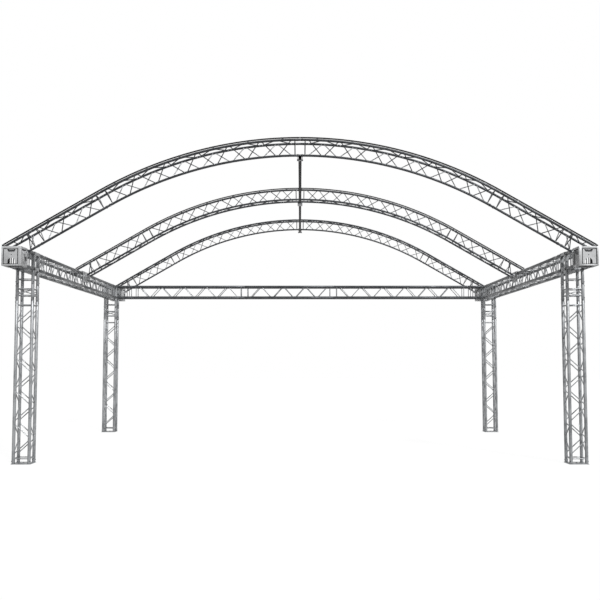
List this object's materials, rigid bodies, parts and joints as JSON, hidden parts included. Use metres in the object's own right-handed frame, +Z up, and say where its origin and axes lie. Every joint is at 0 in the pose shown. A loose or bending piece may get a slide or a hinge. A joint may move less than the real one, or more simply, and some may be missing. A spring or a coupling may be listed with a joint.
{
  "type": "arched truss stage roof",
  "caption": "Free-standing aluminium stage roof: truss towers carry a ring of square truss, open at the front, and arches of triangular truss joined by a ridge tube.",
  "frame": {"origin": "on the ground, in the middle of the towers", "axes": "+X to the right as seen from the audience, +Y from the open front to the rear truss, +Z up"},
  "size_m": [8.8, 7.58, 4.8969],
  "materials": {
    "truss_tube": "mill finish tube, satin",
    "arch_tube": "mill finish tube, satin",
    "block_sheet": "brushed sheet",
    "base_plate": "rolled plate",
    "rail_extrusion": "extruded, matt",
    "ridge_tube": "black powder coat",
    "hardware": "dark zinc plated"
  },
  "bodies": {
    "root": {"base_plate_front_left": "base_plate", "base_plate_front_right": "base_plate", "base_plate_rear_left": "base_plate", "base_plate_rear_right": "base_plate", "tower_front_left": "truss_tube", "tower_front_right": "truss_tube", "tower_rear_left": "truss_tube", "tower_rear_right": "truss_tube", "tower_spacer_front_left": "truss_tube", "tower_spacer_front_right": "truss_tube", "tower_spacer_rear_left": "truss_tube", "tower_spacer_rear_right": "truss_tube", "corner_front_left": "truss_tube", "corner_front_right": "truss_tube", "corner_rear_left": "truss_tube", "corner_rear_right": "truss_tube", "end_block_front_left": "block_sheet", "end_block_front_right": "block_sheet", "end_block_rear_left": "block_sheet", "end_block_rear_right": "block_sheet", "side_truss_left_front": "truss_tube", "side_truss_left_rear": "truss_tube", "side_truss_right_front": "truss_tube", "side_truss_right_rear": "truss_tube", "rear_truss_left": "truss_tube", "rear_truss_middle": "truss_tube", "rear_truss_right": "truss_tube", "arch_front_curve_left": "arch_tube", "arch_front_curve_right": "arch_tube", "arch_front_straight_left": "arch_tube", "arch_front_straight_right": "arch_tube", "arch_front_foot_left": "arch_tube", "arch_front_foot_right": "arch_tube", "arch_middle_curve_left": "arch_tube", "arch_middle_curve_right": "arch_tube", "arch_middle_straight_left": "arch_tube", "arch_middle_straight_right": "arch_tube", "arch_middle_foot_left": "arch_tube", "arch_middle_foot_right": "arch_tube", "arch_rear_curve_left": "arch_tube", "arch_rear_curve_right": "arch_tube", "arch_rear_straight_left": "arch_tube", "arch_rear_straight_right": "arch_tube", "arch_rear_foot_left": "arch_tube", "arch_rear_foot_right": "arch_tube", "middle_seat_left": "block_sheet", "middle_seat_right": "block_sheet", "foot_pin_front_left": "hardware", "foot_pin_front_right": "hardware", "foot_pin_middle_left": "hardware", "foot_pin_middle_right": "hardware", "foot_pin_rear_left": "hardware", "foot_pin_rear_right": "hardware", "keder_rail_front": "rail_extrusion", "keder_rail_middle": "rail_extrusion", "keder_rail_rear": "rail_extrusion", "ridge_tube": "ridge_tube", "ridge_clamp_front": "hardware", "ridge_clamp_middle": "hardware", "ridge_clamp_rear": "hardware"}
  },
  "joints": []
}
